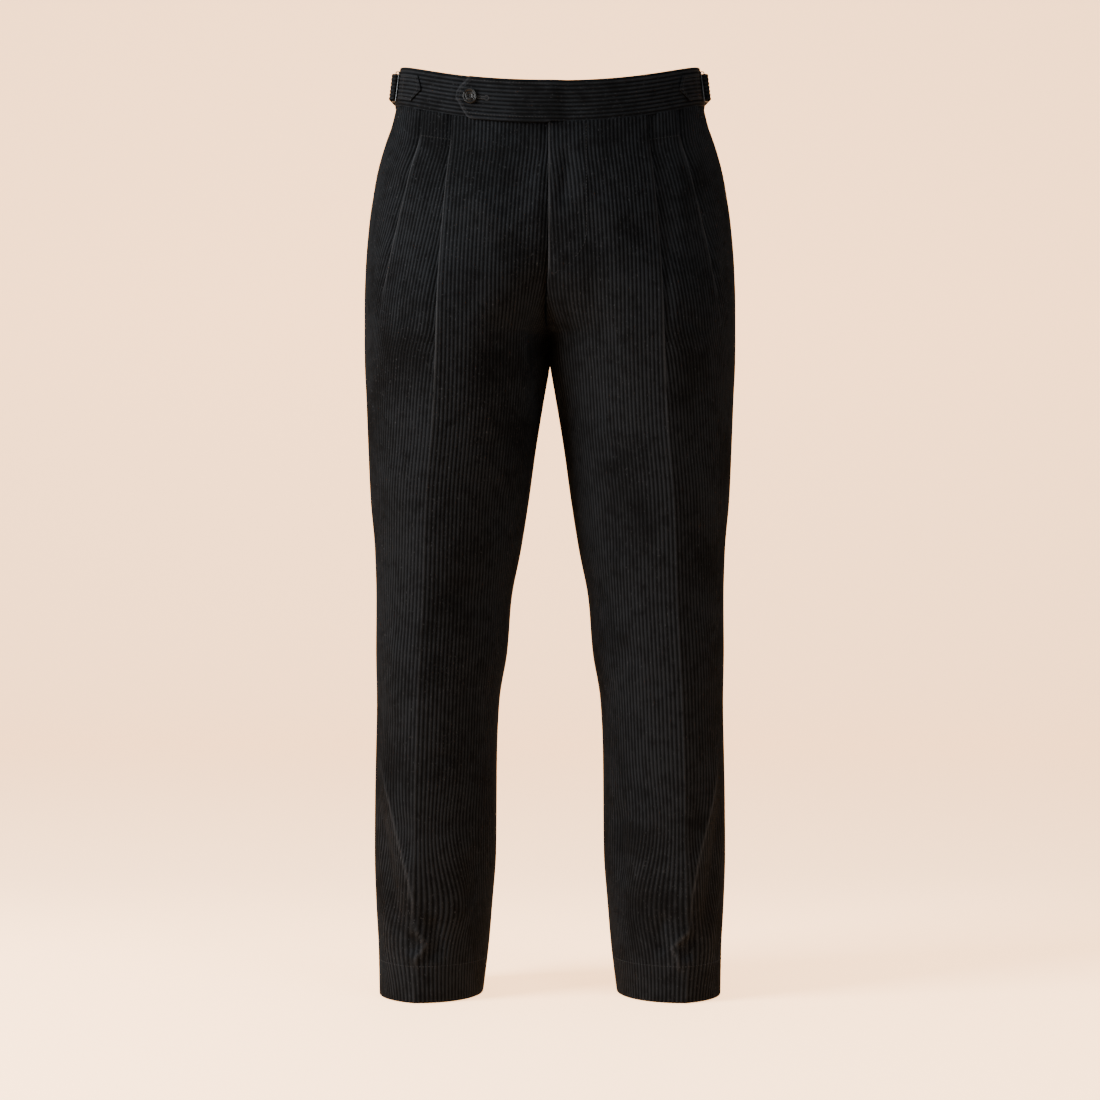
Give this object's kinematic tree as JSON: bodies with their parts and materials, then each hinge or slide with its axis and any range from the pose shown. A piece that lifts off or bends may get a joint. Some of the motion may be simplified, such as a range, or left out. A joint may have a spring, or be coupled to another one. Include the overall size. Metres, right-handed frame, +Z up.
{
  "type": "corduroy trousers",
  "caption": "Pleated wide-wale corduroy trousers with a tab waistband, side adjusters, a fly, slanted pockets and open hems, filled out as worn",
  "frame": {"origin": "centre of the waistband ring, where the wearer holds the trousers up", "axes": "+Z up from the hems to the waist, the front faces -Y, the wearer's left is at +X"},
  "size_m": [0.4056, 0.2886, 1.0171],
  "materials": {
    "cloth": "cotton corduroy, black",
    "slide_metal": "polished metal",
    "button_horn": "glossy black"
  },
  "bodies": {
    "root": {"front_left": "cloth", "front_right": "cloth", "back_left": "cloth", "back_right": "cloth", "waistband_left": "cloth", "waistband_right": "cloth", "pocket_facing_left": "cloth", "pocket_facing_right": "cloth", "adjuster_tab_left": "cloth", "adjuster_tab_right": "cloth", "adjuster_strap_left": "cloth", "adjuster_strap_right": "cloth", "adjuster_slide_left": "slide_metal", "adjuster_slide_right": "slide_metal", "waist_button": "button_horn"}
  },
  "joints": []
}
